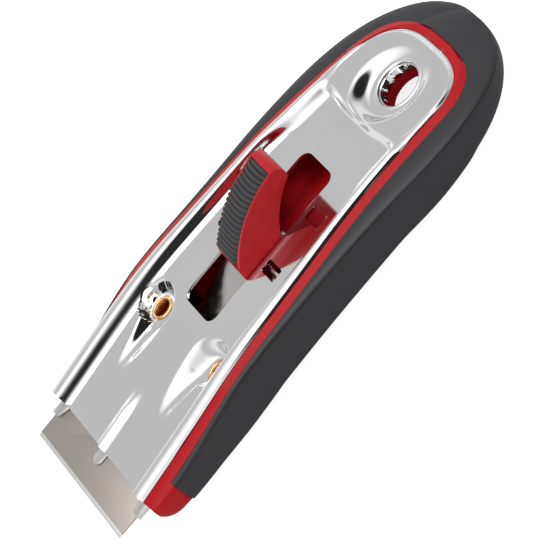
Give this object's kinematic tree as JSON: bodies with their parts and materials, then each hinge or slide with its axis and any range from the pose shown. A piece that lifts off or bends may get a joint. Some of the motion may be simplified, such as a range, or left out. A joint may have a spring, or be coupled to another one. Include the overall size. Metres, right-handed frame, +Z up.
{
  "type": "ceramic hob scraper",
  "caption": "Hand scraper for ceramic hobs: retracting razor blade in a pressed steel channel, thumb slide with latch, two-colour plastic grip and a hang hole.",
  "frame": {"origin": "middle of the underside, on the centre line, at the level that the handle rests on", "axes": "+X from the blade towards the rear end, +Y to the handle's side, +Z up from the underside to the thumb lever"},
  "size_m": [0.1152, 0.0484, 0.0213],
  "materials": {
    "chromed_steel": "bright chrome plate",
    "plain_steel": "zinc-bright sheet steel",
    "spring_steel": "satin spring steel",
    "blade_steel": "satin rolled steel with a ground bevel",
    "brass": "bright brass",
    "red_plastic": "smooth moulded plastic",
    "red_lever": "smooth moulded plastic",
    "black_grip": "soft matte overmould",
    "black_pad": "ribbed matte rubber"
  },
  "bodies": {
    "handle": {"top_plate": "chromed_steel", "base_plate": "plain_steel", "eyelets": "brass", "handle_core": "red_plastic", "grip": "black_grip"},
    "carriage": {"blade_holder": "plain_steel", "razor_blade": "blade_steel", "spring_strip": "spring_steel", "holder_rivets": "plain_steel"},
    "thumb": {"thumb_lever": "red_lever", "thumb_pad": "black_pad", "latch_spring": "spring_steel", "lever_rivets": "plain_steel"}
  },
  "joints": [
    {"name": "blade_slide", "type": "slide", "parent": "handle", "child": "carriage", "axis": [1, 0, 0], "range_m": [-0.0102, 0.01265], "deforming": ["latch_spring"]},
    {"name": "lever_press", "type": "slide", "parent": "carriage", "child": "thumb", "axis": [0, 0, -1], "range_m": [0, 0.0009], "stiffness_N_per_m": 1500, "springref_m": -0.0006, "deforming": ["spring_strip"]}
  ]
}
